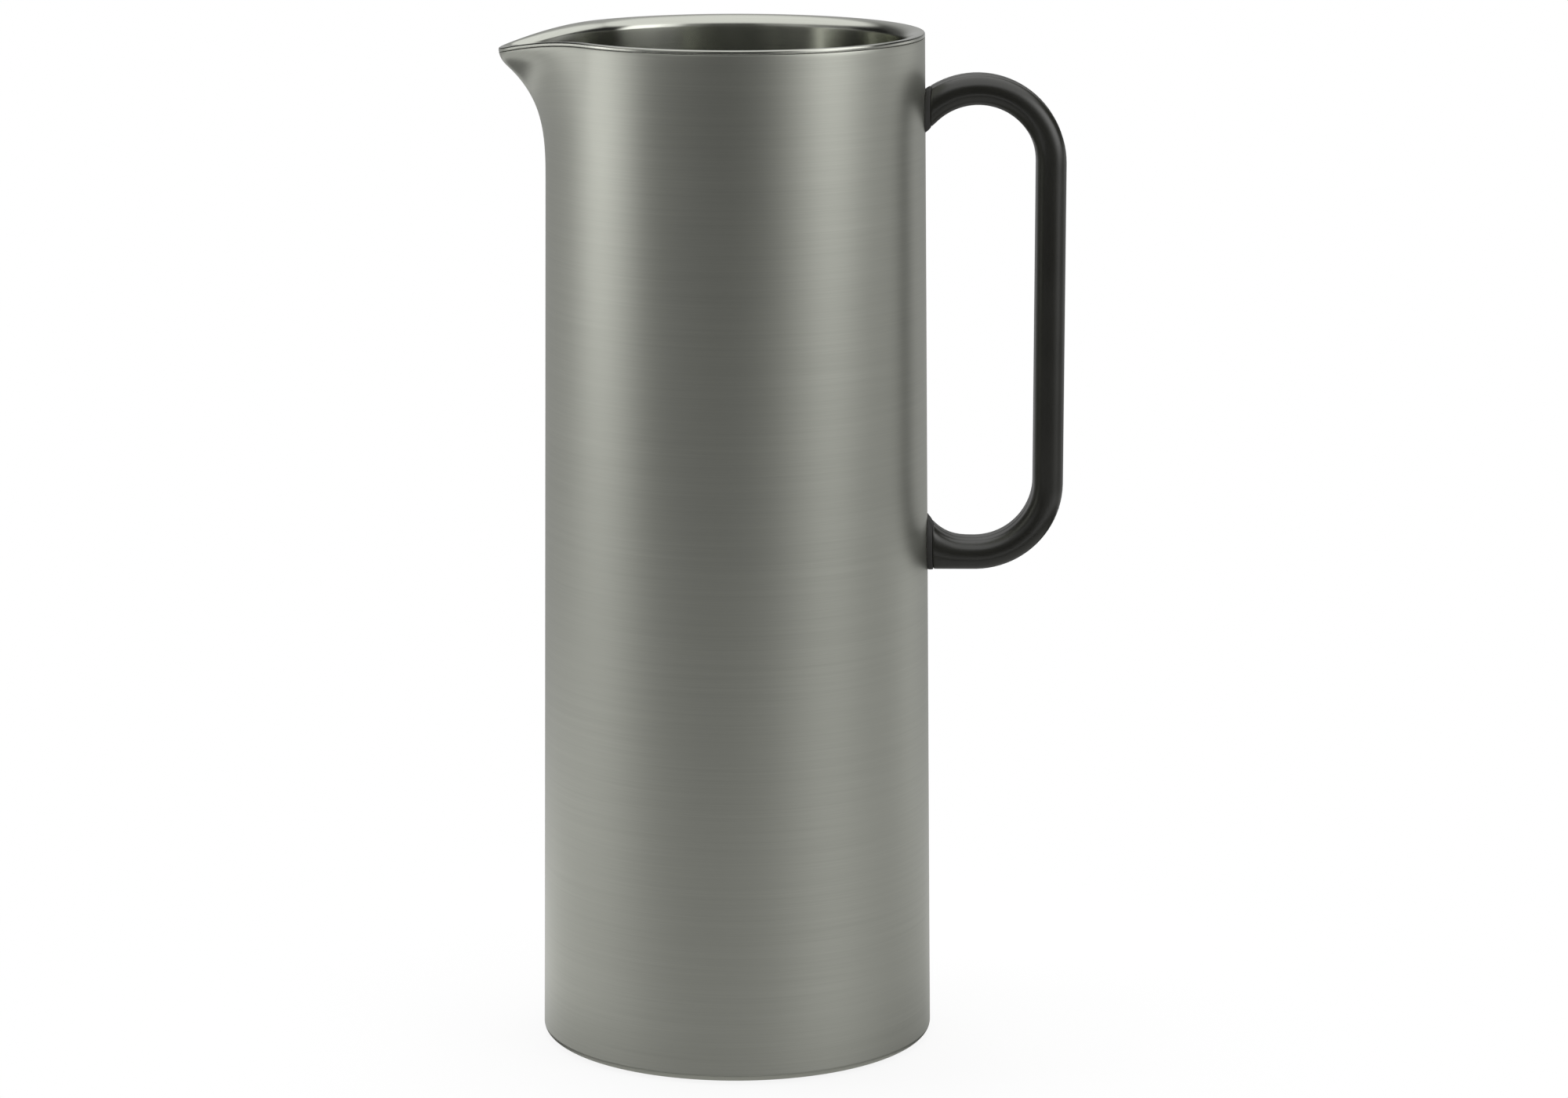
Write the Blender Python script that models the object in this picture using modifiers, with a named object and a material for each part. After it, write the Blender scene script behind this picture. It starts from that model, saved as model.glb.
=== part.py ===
"""An insulated jug: a double-walled steel pitcher with a drawn spout and a black moulded handle.

Lengths are in metres and +Z is up. The origin is on the jug's axis, on the surface that it stands on.
The spout points to -X and the handle to +X.
"""

import math

import bmesh
import bpy

MM = 0.001

# The body: two drawn steel walls that meet at the rim
BODY_HEIGHT = 279 * MM
BASE_RADIUS = 54.1 * MM
BODY_DRAFT = 3.0 * MM
SHELL_WALL = 0.8 * MM
LINER_WALL = 0.8 * MM
WALL_SPACE = 3.6 * MM
RIM_CROWN = 1.1 * MM
RIM_FALL = 3.0 * MM
LIP_ROLL = 0.2 * MM
FLOOR_HEIGHT = 13 * MM
FLOOR_CORNER = 14 * MM

# The spout: the top of both walls, pulled out to a rounded beak
SPOUT_LENGTH = 41 * MM
SPOUT_REACH = 12.8 * MM
SPOUT_DIP = 4.2 * MM
SPOUT_LIP = 3.0 * MM
SPOUT_SOFTNESS = 2.6 * MM
SPOUT_TIP_RADIUS = 9 * MM
SPOUT_WALL_SPACE = 1.6 * MM

# The base: the shell's hem, the plate that rests on it, and the pad that the jug stands on
FOOT_LIFT = 0.6 * MM
EDGE_RADIUS = 2.0 * MM
HEM_WIDTH = 6.0 * MM
BASE_PLATE_WALL = 1.0 * MM
BASE_PLATE_HEIGHT = 9.0 * MM

# The handle: a flat-oval bar bent in one plane
HANDLE_THICKNESS = 8.0 * MM
HANDLE_WIDTH = 15 * MM
HANDLE_EDGE = 3.7 * MM
HANDLE_BEND = 20 * MM
HANDLE_GAP = 30.4 * MM
HANDLE_DROP = 15.4 * MM
HANDLE_SPAN = 127.7 * MM
UPPER_ARM_SLOPE = math.radians(43)
FOOT_RISE = 6.0 * MM

# The fixings: at each foot a screw from inside the shell, through plate and gasket into an insert
GASKET_THICKNESS = 1.0 * MM
SCREW_RADIUS = 1.45 * MM
SCREW_HEAD_RADIUS = 2.75 * MM
SCREW_HEAD_HEIGHT = 1.6 * MM
SOCKET_RADIUS = 1.4 * MM
SOCKET_DEPTH = 1.0 * MM
INSERT_WALL = 0.5 * MM
INSERT_LENGTH = 5.0 * MM
BACKING_THICKNESS = 1.0 * MM
BACKING_SIDE = 14 * MM
BACKING_CORNER = 2.0 * MM

# Clearance between neighbouring pieces
FIT = 0.3 * MM

# How finely curves are divided
ROUND_STEPS = 64
SMALL_STEPS = 20
UPPER_BEND_STEPS = 14
LOWER_BEND_STEPS = 9
CORNER_STEPS = 4
ARM_STEPS = 7
SPOUT_LEVELS = 6
RIM_STEPS = 5
FLOOR_STEPS = 5
CROWDED_ANGLE = math.radians(75)
CROWDING = 0.45
WELD = 0.01 * MM
SHARP_ANGLE = math.radians(35)

# What follows from the sizes above
RIM_RADIUS = BASE_RADIUS - BODY_DRAFT
RIM_WIDTH = SHELL_WALL + WALL_SPACE + LINER_WALL
CREST_DEPTH = LINER_WALL + LIP_ROLL
SHELL_TOP = BODY_HEIGHT - RIM_CROWN - FIT
SPOUT_START = BODY_HEIGHT - SPOUT_LENGTH
HEM_TOP = FOOT_LIFT + SHELL_WALL
BASE_PLATE_BOTTOM = HEM_TOP + FIT
BASE_PLATE_FLOOR = BASE_PLATE_BOTTOM + BASE_PLATE_WALL
BASE_PLATE_TOP = BASE_PLATE_BOTTOM + BASE_PLATE_HEIGHT
INSULATION_DISC_TOP = FLOOR_HEIGHT - LINER_WALL - FIT
HANDLE_BAR_X = RIM_RADIUS + HANDLE_GAP + HANDLE_THICKNESS / 2
HANDLE_TOP = BODY_HEIGHT - HANDLE_DROP
LOWER_ARM_Z = HANDLE_TOP - HANDLE_SPAN
FOOT_STANDOFF = FIT + GASKET_THICKNESS + FIT
INSERT_BORE = SCREW_RADIUS + FIT
INSERT_RADIUS = INSERT_BORE + INSERT_WALL
BACKING_DEPTH = SHELL_WALL + FIT
SCREW_HEAD_DEPTH = BACKING_DEPTH + BACKING_THICKNESS + FIT


def body_radius(z):
    """The shell's outside radius at a height, where no spout is drawn out."""
    return BASE_RADIUS - BODY_DRAFT * z / BODY_HEIGHT


def at_depth(depth, z):
    """A profile point at a depth inside the shell's outside face."""
    return (body_radius(z) - depth, z)


def arc(centre_x, centre_z, radius, start, end, steps):
    """Points along an arc in the XZ plane."""
    angles = [start + (end - start) * i / steps for i in range(steps + 1)]
    return [(centre_x + radius * math.cos(a), centre_z + radius * math.sin(a)) for a in angles]


# Scene and materials


def clear_scene():
    for old in list(bpy.data.objects):
        bpy.data.objects.remove(old)


def new_collection(name):
    made = bpy.data.collections.new(name)
    bpy.context.scene.collection.children.link(made)
    return made


def new_material(name, colour, metallic, roughness):
    made = bpy.data.materials.new(name)
    made.use_nodes = True
    shader = made.node_tree.nodes["Principled BSDF"]
    shader.inputs["Base Color"].default_value = (*colour, 1)
    shader.inputs["Metallic"].default_value = metallic
    shader.inputs["Roughness"].default_value = roughness
    return made


def new_object(name, data, collection, material=None):
    made = bpy.data.objects.new(name, data)
    collection.objects.link(made)
    if material:
        data.materials.append(material)
    return made


def new_cutter(name, data, collection):
    made = new_object(name, data, collection)
    made.hide_render = True
    made.display_type = "WIRE"
    return made


# Shapes


def turned_mesh(name, profile, closed, steps):
    """Turns a profile, which runs down its outer side, once round the Z axis."""
    outline = bpy.data.meshes.new(name)
    edges = [(i, i + 1) for i in range(len(profile) - 1)]
    if closed:
        edges.append((len(profile) - 1, 0))
    outline.from_pydata([(x, 0, z) for x, z in profile], edges, [])
    lathe = bpy.data.objects.new(name, outline)
    bpy.context.scene.collection.objects.link(lathe)
    turn = lathe.modifiers.new("Turn", "SCREW")
    turn.steps = steps
    turn.render_steps = steps
    turn.use_merge_vertices = True
    turn.merge_threshold = WELD
    return settled_mesh(lathe)


def settled_mesh(source):
    """The mesh that an object's modifiers or curve make, welded. The object itself is removed."""
    bpy.context.view_layer.update()
    graph = bpy.context.evaluated_depsgraph_get()
    mesh = bpy.data.meshes.new_from_object(source.evaluated_get(graph))
    mesh.name = source.name
    bpy.data.objects.remove(source)
    shape = bmesh.new()
    shape.from_mesh(mesh)
    bmesh.ops.remove_doubles(shape, verts=shape.verts, dist=WELD)
    bmesh.ops.recalc_face_normals(shape, faces=shape.faces)
    shape.to_mesh(mesh)
    shape.free()
    return mesh


def cut(target, operation, cutter):
    step = target.modifiers.new(cutter.name, "BOOLEAN")
    step.operation = operation
    step.solver = "EXACT"
    step.object = cutter


# The spout


def spout_share(angle):
    """How much of the spout's reach the rim has at an angle from the beak's middle.

    Seen from above, the rim is a circle and a small tip circle, joined by their common tangents.
    """
    tip_centre = RIM_RADIUS + SPOUT_REACH - SPOUT_TIP_RADIUS
    flank = math.acos((RIM_RADIUS - SPOUT_TIP_RADIUS) / tip_centre)
    tip_side = SPOUT_TIP_RADIUS * math.sin(flank)
    tip = math.atan2(tip_side, tip_centre + SPOUT_TIP_RADIUS * math.cos(flank))
    angle = abs(angle)
    if angle >= flank:
        return 0
    if angle > tip:
        radius = RIM_RADIUS / math.cos(flank - angle)
    else:
        across = tip_centre * math.sin(angle)
        radius = tip_centre * math.cos(angle) + math.sqrt(SPOUT_TIP_RADIUS**2 - across**2)
    return (radius - RIM_RADIUS) / SPOUT_REACH


def spout_rise(z):
    """How far up the spout a height is: zero where it begins, and one along its upright lip."""
    flare = SPOUT_LENGTH - SPOUT_LIP
    rise = max(z - SPOUT_START, 0)
    past = min(max(rise - flare + SPOUT_SOFTNESS, 0), 2 * SPOUT_SOFTNESS)
    return min(rise - past**2 / (4 * SPOUT_SOFTNESS), flare) / flare


def crowded(angle):
    """Draws a wall's columns of points together towards the beak, where the rim turns most tightly."""
    share = min(abs(angle) / CROWDED_ANGLE, 1)
    return angle * (CROWDING + (1 - CROWDING) * share)


def draw_spout(mesh):
    """Pulls the beak out of a turned wall, and closes the two walls up on each other towards its lip."""
    for vertex in mesh.vertices:
        x, y, z = vertex.co
        rise = spout_rise(z)
        angle = crowded(math.atan2(y, -x))
        pull = spout_share(angle) * rise**3
        depth = body_radius(z) - math.hypot(x, y)
        across = min(max((depth - SHELL_WALL) / WALL_SPACE, 0), 1)
        depth -= (WALL_SPACE - SPOUT_WALL_SPACE) * pull * across
        radius = body_radius(z) - depth + SPOUT_REACH * pull
        lower = SPOUT_DIP * spout_share(angle) * rise**2
        vertex.co = (-radius * math.cos(angle), radius * math.sin(angle), z - lower)


def spout_heights(top):
    """Heights of a wall's rows of points, from its top down to where the spout begins."""
    lip = min(BODY_HEIGHT - SPOUT_LIP, top)
    rows = [lip + (SPOUT_START - lip) * i / SPOUT_LEVELS for i in range(SPOUT_LEVELS + 1)]
    return rows if lip == top else [top] + rows


# The body's pieces


def foot_corner(depth, bottom):
    """The rounded corner where a wall at a depth inside the shell's outside face turns in to the base."""
    radius = max(EDGE_RADIUS - depth, 0)
    centre_x = body_radius(0) - depth - radius
    return arc(centre_x, bottom + radius, radius, 0, -math.pi / 2, CORNER_STEPS)


def shell_mesh():
    """The outer wall, with its lower edge turned in as a hem."""
    heights = spout_heights(SHELL_TOP)
    hem_x = body_radius(0) - HEM_WIDTH
    outside = [at_depth(0, z) for z in heights] + foot_corner(0, FOOT_LIFT)
    hem = [(hem_x, FOOT_LIFT), (hem_x, HEM_TOP)]
    inside = foot_corner(SHELL_WALL, HEM_TOP)[::-1] + [at_depth(SHELL_WALL, z) for z in heights[::-1]]
    mesh = turned_mesh("outer_shell", outside + hem + inside, True, ROUND_STEPS)
    draw_spout(mesh)
    return mesh


def rim_arch(sheet):
    """The rim from inside up to its crest and down to its lip, a sheet's thickness under its top face."""
    quarter = math.pi / 2
    sides = [(RIM_WIDTH - CREST_DEPTH, RIM_FALL, 0), (CREST_DEPTH, RIM_CROWN, quarter)]
    points = []
    for width, fall, start in sides:
        for i in range(RIM_STEPS + 1):
            angle = start + quarter * i / RIM_STEPS
            depth = CREST_DEPTH + (width - sheet) * math.cos(angle)
            points.append(at_depth(depth, BODY_HEIGHT - fall + (fall - sheet) * math.sin(angle)))
    del points[RIM_STEPS]
    return points


def liner_mesh():
    """The inner vessel: floor, wall, and a rim rolled over the shell's top edge."""
    heights = spout_heights(BODY_HEIGHT - RIM_FALL)[1:]
    corner_z = FLOOR_HEIGHT + FLOOR_CORNER
    corner_x = body_radius(corner_z) - RIM_WIDTH - FLOOR_CORNER
    outer_corner = FLOOR_CORNER + LINER_WALL
    inside = [(0, FLOOR_HEIGHT)]
    inside += arc(corner_x, corner_z, FLOOR_CORNER, -math.pi / 2, 0, FLOOR_STEPS)
    inside += [at_depth(RIM_WIDTH, z) for z in heights[::-1]]
    rim = rim_arch(0) + rim_arch(LINER_WALL)[::-1]
    outside = [at_depth(RIM_WIDTH - LINER_WALL, z) for z in heights]
    outside += arc(corner_x, corner_z, outer_corner, 0, -math.pi / 2, FLOOR_STEPS)
    outside += [(0, FLOOR_HEIGHT - LINER_WALL)]
    mesh = turned_mesh("inner_liner", inside + rim + outside, False, ROUND_STEPS)
    draw_spout(mesh)
    return mesh


def base_plate_mesh():
    """A dish inside the shell, resting on the hem, with its edge turned up along the wall."""
    outer = SHELL_WALL + FIT
    inner = outer + BASE_PLATE_WALL
    profile = [(0, BASE_PLATE_FLOOR), at_depth(inner, BASE_PLATE_FLOOR)]
    profile += [at_depth(inner, BASE_PLATE_TOP), at_depth(outer, BASE_PLATE_TOP)]
    profile += foot_corner(outer, BASE_PLATE_BOTTOM)
    profile += [(0, BASE_PLATE_BOTTOM)]
    return turned_mesh("base_plate", profile, False, ROUND_STEPS)


def disc_mesh(name, radius, bottom, top):
    profile = [(0, top), (radius, top), (radius, bottom), (0, bottom)]
    return turned_mesh(name, profile, False, ROUND_STEPS)


def layer_mesh(name, outer_depth, inner_depth, bottom, top):
    """A tube that follows the shell's taper, between two depths inside its outside face."""
    profile = [at_depth(outer_depth, top), at_depth(outer_depth, bottom)]
    profile += [at_depth(inner_depth, bottom), at_depth(inner_depth, top)]
    return turned_mesh(name, profile, True, ROUND_STEPS)


# The handle


def handle_path():
    """The handle's centre line as (x, z), from inside the wall at the top round to the bottom.

    Both ends run on inside the wall, to be trimmed to its curve.
    """
    bend_x = HANDLE_BAR_X - HANDLE_BEND
    wall = body_radius(LOWER_ARM_Z)
    run_in = HANDLE_THICKNESS + HANDLE_BEND / 2
    upper_turn = math.pi / 2 + UPPER_ARM_SLOPE
    upper = arc(bend_x, HANDLE_TOP - HANDLE_BEND, HANDLE_BEND, upper_turn, 0, UPPER_BEND_STEPS)
    lower = arc(bend_x, LOWER_ARM_Z + HANDLE_BEND, HANDLE_BEND, 0, -math.pi / 2, LOWER_BEND_STEPS)
    start_x = upper[0][0] - run_in * math.cos(UPPER_ARM_SLOPE)
    start_z = upper[0][1] - run_in * math.sin(UPPER_ARM_SLOPE)
    arm = [(bend_x + (wall - bend_x) * i / ARM_STEPS, LOWER_ARM_Z) for i in range(1, ARM_STEPS + 1)]
    return [(start_x, start_z)] + upper + lower + arm + [(wall - run_in, LOWER_ARM_Z)]


def flare_foot(mesh):
    """Widens the lower arm towards the wall: its top side curves up and its under side stays straight."""
    bend_x = HANDLE_BAR_X - HANDLE_BEND
    reach = bend_x - body_radius(LOWER_ARM_Z)
    under = LOWER_ARM_Z - HANDLE_THICKNESS / 2
    for vertex in mesh.vertices:
        x, _, z = vertex.co
        if x < bend_x and z < LOWER_ARM_Z + HANDLE_BEND:
            share = min((bend_x - x) / reach, 1)
            vertex.co.z += FOOT_RISE * share**3 * (z - under) / HANDLE_THICKNESS


def upper_screw_height():
    """The height at which the upper arm's centre line passes the middle of its insert."""
    x = body_radius(HANDLE_TOP) + FOOT_STANDOFF + INSERT_LENGTH / 2
    path = handle_path()
    after = next(i for i, point in enumerate(path) if point[0] >= x)
    x0, z0 = path[after - 1]
    x1, z1 = path[after]
    return z0 + (z1 - z0) * (x - x0) / (x1 - x0)


def handle_section(cutters):
    """The bar's flat-oval outline, as a guide curve for the sweep."""
    radius = min(HANDLE_EDGE, HANDLE_WIDTH / 2, HANDLE_THICKNESS / 2)
    half_width = HANDLE_WIDTH / 2 - radius
    half_thickness = HANDLE_THICKNESS / 2 - radius
    quarter = math.pi / 2
    outline = []
    for turn, (side, face) in enumerate([(1, 1), (-1, 1), (-1, -1), (1, -1)]):
        centre = (side * half_width, face * half_thickness)
        outline += arc(*centre, radius, turn * quarter, (turn + 1) * quarter, CORNER_STEPS)
    curve = bpy.data.curves.new("handle_section", "CURVE")
    spline = curve.splines.new("POLY")
    spline.points.add(len(outline) - 1)
    spline.use_cyclic_u = True
    for point, (x, y) in zip(spline.points, outline):
        point.co = (x, y, 0, 1)
    return new_cutter("handle_section", curve, cutters)


def bar_mesh(cutters):
    """The whole bent bar, before its ends are trimmed."""
    curve = bpy.data.curves.new("handle_bar", "CURVE")
    curve.dimensions = "3D"
    curve.bevel_mode = "OBJECT"
    curve.bevel_object = handle_section(cutters)
    curve.use_fill_caps = True
    path = handle_path()
    spline = curve.splines.new("POLY")
    spline.points.add(len(path) - 1)
    for point, (x, z) in zip(spline.points, path):
        point.co = (x, 0, z, 1)
    bar = bpy.data.objects.new("handle_bar", curve)
    bpy.context.scene.collection.objects.link(bar)
    mesh = settled_mesh(bar)
    flare_foot(mesh)
    return mesh


# The fixings


def rod_mesh(name, profile):
    """A small turned piece that lies along +X, from a profile of (radius, distance along)."""
    mesh = turned_mesh(name, profile, False, SMALL_STEPS)
    for vertex in mesh.vertices:
        x, y, z = vertex.co
        vertex.co = (z, y, -x)
    return mesh


def rod_cutter(name, radius, start, end, z, collection):
    """A round cutter along +X between two distances from the jug's axis."""
    length = end - start
    mesh = rod_mesh(name, [(0, length), (radius, length), (radius, 0), (0, 0)])
    made = new_cutter(name, mesh, collection)
    made.location = (start, 0, z)
    return made


def screw_mesh(name, reach):
    """A socket screw: its head's underside at zero and its shank along +X."""
    tip = SCREW_RADIUS / 3
    rim = SCREW_HEAD_HEIGHT / 4
    profile = [(0, reach), (SCREW_RADIUS - tip, reach), (SCREW_RADIUS, reach - tip), (SCREW_RADIUS, 0)]
    profile += [(SCREW_HEAD_RADIUS, 0), (SCREW_HEAD_RADIUS, rim - SCREW_HEAD_HEIGHT)]
    profile += [(SCREW_HEAD_RADIUS - rim, -SCREW_HEAD_HEIGHT), (0, -SCREW_HEAD_HEIGHT)]
    return rod_mesh(name, profile)


def insert_mesh(name):
    """An insert: a plain tube along +X, closed at its far end and open where the screw enters."""
    end = INSERT_LENGTH - INSERT_WALL
    profile = [(0, INSERT_LENGTH), (INSERT_RADIUS, INSERT_LENGTH), (INSERT_RADIUS, 0)]
    profile += [(INSERT_BORE, 0), (INSERT_BORE, end), (0, end)]
    return rod_mesh(name, profile)


def socket_cutter(name, collection):
    """The six-sided recess in a screw's head."""
    depth = SOCKET_DEPTH * 2
    mesh = bpy.data.meshes.new(name)
    shape = bmesh.new()
    bmesh.ops.create_cone(
        shape,
        cap_ends=True,
        segments=6,
        radius1=SOCKET_RADIUS,
        radius2=SOCKET_RADIUS,
        depth=depth,
    )
    for vertex in shape.verts:
        x, y, z = vertex.co
        vertex.co = (z, y, -x)
    shape.to_mesh(mesh)
    shape.free()
    return new_cutter(name, mesh, collection)


def block_cutter(name, side, corner, depth, collection):
    """A square block along X with rounded corners, which trims a backing plate's outline."""
    mesh = bpy.data.meshes.new(name)
    shape = bmesh.new()
    bmesh.ops.create_cube(shape, size=1)
    for vertex in shape.verts:
        x, y, z = vertex.co
        vertex.co = (x * depth, y * side, z * side)
    long_edges = [e for e in shape.edges if abs(e.verts[0].co.x - e.verts[1].co.x) > depth / 2]
    bmesh.ops.bevel(shape, geom=long_edges, offset=corner, segments=3, profile=0.5, affect="EDGES")
    shape.to_mesh(mesh)
    shape.free()
    return new_cutter(name, mesh, collection)


def build_fixing(side, z, bar, parts, cutters, materials):
    """One foot's gasket, insert, screw and backing plate. Returns the cutters that neighbours need."""
    wall = body_radius(z)
    foot = wall + FOOT_STANDOFF
    head = wall - SCREW_HEAD_DEPTH
    reach = foot + INSERT_LENGTH - INSERT_WALL - FIT - head
    band = HANDLE_BEND
    hole = rod_cutter(f"screw_hole_{side}", INSERT_BORE, head, foot + FIT, z, cutters)

    gasket = new_object(f"handle_gasket_{side}", bar.copy(), parts, materials["silicone"])
    ring = layer_mesh(f"gasket_layer_{side}", -FIT - GASKET_THICKNESS, -FIT, z - band, z + band)
    cut(gasket, "INTERSECT", new_cutter(f"gasket_layer_{side}", ring, cutters))
    cut(gasket, "DIFFERENCE", hole)

    plate_inner = BACKING_DEPTH + BACKING_THICKNESS
    plate = layer_mesh(f"backing_plate_{side}", BACKING_DEPTH, plate_inner, z - band, z + band)
    backing = new_object(f"backing_plate_{side}", plate, parts, materials["steel_plain"])
    block = block_cutter(f"backing_outline_{side}", BACKING_SIDE, BACKING_CORNER, wall, cutters)
    block.location = (wall, 0, z)
    cut(backing, "INTERSECT", block)
    cut(backing, "DIFFERENCE", hole)

    insert = new_object(f"handle_insert_{side}", insert_mesh("insert"), parts, materials["brass"])
    insert.location = (foot, 0, z)

    screw = new_object(f"handle_screw_{side}", screw_mesh("screw", reach), parts, materials["steel_plain"])
    screw.location = (head, 0, z)
    socket = socket_cutter(f"socket_{side}", cutters)
    socket.location = (head - SCREW_HEAD_HEIGHT, 0, z)
    cut(screw, "DIFFERENCE", socket)

    seat_end = foot + INSERT_LENGTH + FIT
    seat = rod_cutter(f"insert_seat_{side}", INSERT_RADIUS + FIT, wall, seat_end, z, cutters)
    return hole, seat


# Assembly


def build_body(parts, materials):
    """Shell, liner, base and insulation. Returns the two pieces that the handle's fixings pass through."""
    shell = new_object("outer_shell", shell_mesh(), parts, materials["steel_satin"])
    new_object("inner_liner", liner_mesh(), parts, materials["steel_polished"])
    new_object("base_plate", base_plate_mesh(), parts, materials["steel_plain"])

    pad_radius = body_radius(0) - HEM_WIDTH - FIT
    pad = disc_mesh("base_pad", pad_radius, 0, BASE_PLATE_BOTTOM - FIT)
    new_object("base_pad", pad, parts, materials["silicone"])

    disc_depth = SHELL_WALL + FIT + BASE_PLATE_WALL + FIT
    disc_radius = min(body_radius(BASE_PLATE_FLOOR), body_radius(INSULATION_DISC_TOP)) - disc_depth
    disc = disc_mesh("insulation_disc", disc_radius, BASE_PLATE_FLOOR + FIT, INSULATION_DISC_TOP)
    new_object("insulation_disc", disc, parts, materials["foam"])

    outer = SHELL_WALL + FIT
    inner = SHELL_WALL + WALL_SPACE - FIT
    bottom = max(INSULATION_DISC_TOP, BASE_PLATE_TOP) + FIT
    top = min(SPOUT_START, upper_screw_height() - BACKING_SIDE / 2 - FIT)
    tube = layer_mesh("insulation_sleeve", outer, inner, bottom, top)
    sleeve = new_object("insulation_sleeve", tube, parts, materials["foam"])
    return shell, sleeve


def build_handle(shell, sleeve, parts, cutters, materials):
    """The handle, trimmed to the shell's curve, and the fixings of its two feet."""
    bar = bar_mesh(cutters)
    handle = new_object("handle", bar.copy(), parts, materials["nylon_black"])
    profile = [(0, BODY_HEIGHT), at_depth(-FOOT_STANDOFF, BODY_HEIGHT), at_depth(-FOOT_STANDOFF, 0), (0, 0)]
    trim = turned_mesh("handle_trim", profile, False, ROUND_STEPS)
    cut(handle, "DIFFERENCE", new_cutter("handle_trim", trim, cutters))

    feet = {"upper": upper_screw_height(), "lower": LOWER_ARM_Z}
    for side, z in feet.items():
        hole, seat = build_fixing(side, z, bar, parts, cutters, materials)
        cut(shell, "DIFFERENCE", hole)
        cut(handle, "DIFFERENCE", seat)

    window = block_cutter("sleeve_window", BACKING_SIDE + 4 * FIT, BACKING_CORNER, 4 * RIM_WIDTH, cutters)
    window.location = (body_radius(LOWER_ARM_Z), 0, LOWER_ARM_Z)
    cut(sleeve, "DIFFERENCE", window)


def settle(target):
    """Turns an object's modifiers into plain faces, and shades the round ones smooth."""
    graph = bpy.context.evaluated_depsgraph_get()
    mesh = bpy.data.meshes.new_from_object(target.evaluated_get(graph))
    target.modifiers.clear()
    target.data = mesh
    mesh.shade_smooth()
    mesh.set_sharp_from_angle(angle=SHARP_ANGLE)


def build_jug():
    clear_scene()
    parts = new_collection("insulated_jug")
    cutters = new_collection("cutters")
    materials = {
        "steel_satin": new_material("steel_satin", (0.52, 0.52, 0.49), 1, 0.35),
        "steel_polished": new_material("steel_polished", (0.58, 0.58, 0.56), 1, 0.15),
        "steel_plain": new_material("steel_plain", (0.5, 0.5, 0.5), 1, 0.45),
        "nylon_black": new_material("nylon_black", (0.02, 0.02, 0.018), 0, 0.35),
        "silicone": new_material("silicone", (0.03, 0.03, 0.03), 0, 0.7),
        "foam": new_material("foam", (0.75, 0.7, 0.55), 0, 0.95),
        "brass": new_material("brass", (0.7, 0.5, 0.2), 1, 0.35),
    }
    shell, sleeve = build_body(parts, materials)
    build_handle(shell, sleeve, parts, cutters, materials)

    root = bpy.data.objects.new("jug", None)
    bpy.context.scene.collection.objects.link(root)
    bpy.context.view_layer.update()
    for piece in parts.objects:
        settle(piece)
        piece.parent = root


build_jug()
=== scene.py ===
import math

import bmesh
import bpy
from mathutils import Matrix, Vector


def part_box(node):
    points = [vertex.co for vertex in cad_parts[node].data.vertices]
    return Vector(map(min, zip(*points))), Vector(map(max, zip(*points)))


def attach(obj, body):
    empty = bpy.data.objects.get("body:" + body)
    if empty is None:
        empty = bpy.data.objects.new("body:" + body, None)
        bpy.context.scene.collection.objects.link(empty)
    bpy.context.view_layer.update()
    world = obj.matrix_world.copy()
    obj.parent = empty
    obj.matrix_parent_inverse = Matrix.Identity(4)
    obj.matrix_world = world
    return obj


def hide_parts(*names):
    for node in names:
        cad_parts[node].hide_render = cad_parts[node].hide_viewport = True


# The looks of the insulated jug: fine meshes, procedural finishes, a pale floor and soft studio light.
# Lengths are in metres, +Z is up, the spout points to -X and the handle to +X.

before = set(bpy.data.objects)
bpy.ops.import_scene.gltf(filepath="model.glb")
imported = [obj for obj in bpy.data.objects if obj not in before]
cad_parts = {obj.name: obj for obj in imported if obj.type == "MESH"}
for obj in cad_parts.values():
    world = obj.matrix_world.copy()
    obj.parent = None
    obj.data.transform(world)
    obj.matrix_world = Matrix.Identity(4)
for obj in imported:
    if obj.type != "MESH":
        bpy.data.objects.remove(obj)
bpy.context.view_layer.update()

MM = 0.001

# A quarter turn and a whole one
QUARTER = math.pi / 2
TURN = 2 * math.pi

# The body: two drawn steel walls that meet at the rim
BODY_HEIGHT = 279 * MM
BASE_RADIUS = 54.1 * MM
BODY_DRAFT = 3.0 * MM
SHEET = 0.8 * MM
WALL_SPACE = 3.6 * MM
RIM_CROWN = 1.1 * MM
RIM_FALL = 3.0 * MM
LIP_ROLL = 0.2 * MM
CROWN_CORNER = 0.35
FLOOR_HEIGHT = 13 * MM
FLOOR_CORNER = 14 * MM
SHEET_EDGE = 0.15 * MM
SEAM = 0.1 * MM

# The spout: the top of both walls, pulled out to a rounded beak
SPOUT_LENGTH = 41 * MM
SPOUT_REACH = 12.8 * MM
SPOUT_DIP = 4.2 * MM
SPOUT_LIP = 3.0 * MM
SPOUT_SOFTNESS = 2.6 * MM
SPOUT_TIP_RADIUS = 9 * MM
SPOUT_WALL_SPACE = 1.6 * MM
SPOUT_RIM_LIFT = 2.5 * MM
SPOUT_REACH_POWER = 3
SPOUT_DIP_POWER = 2

# The base: the shell's hem and the ribbed pad inside it
FOOT_LIFT = 0.6 * MM
EDGE_RADIUS = 2.0 * MM
HEM_WIDTH = 6.0 * MM
PAD_EDGE = 0.3 * MM
PAD_RIBS = 9
PAD_RIB_HEIGHT = 0.45 * MM
PAD_RIB_SLOPE = 0.3 * MM

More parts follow.
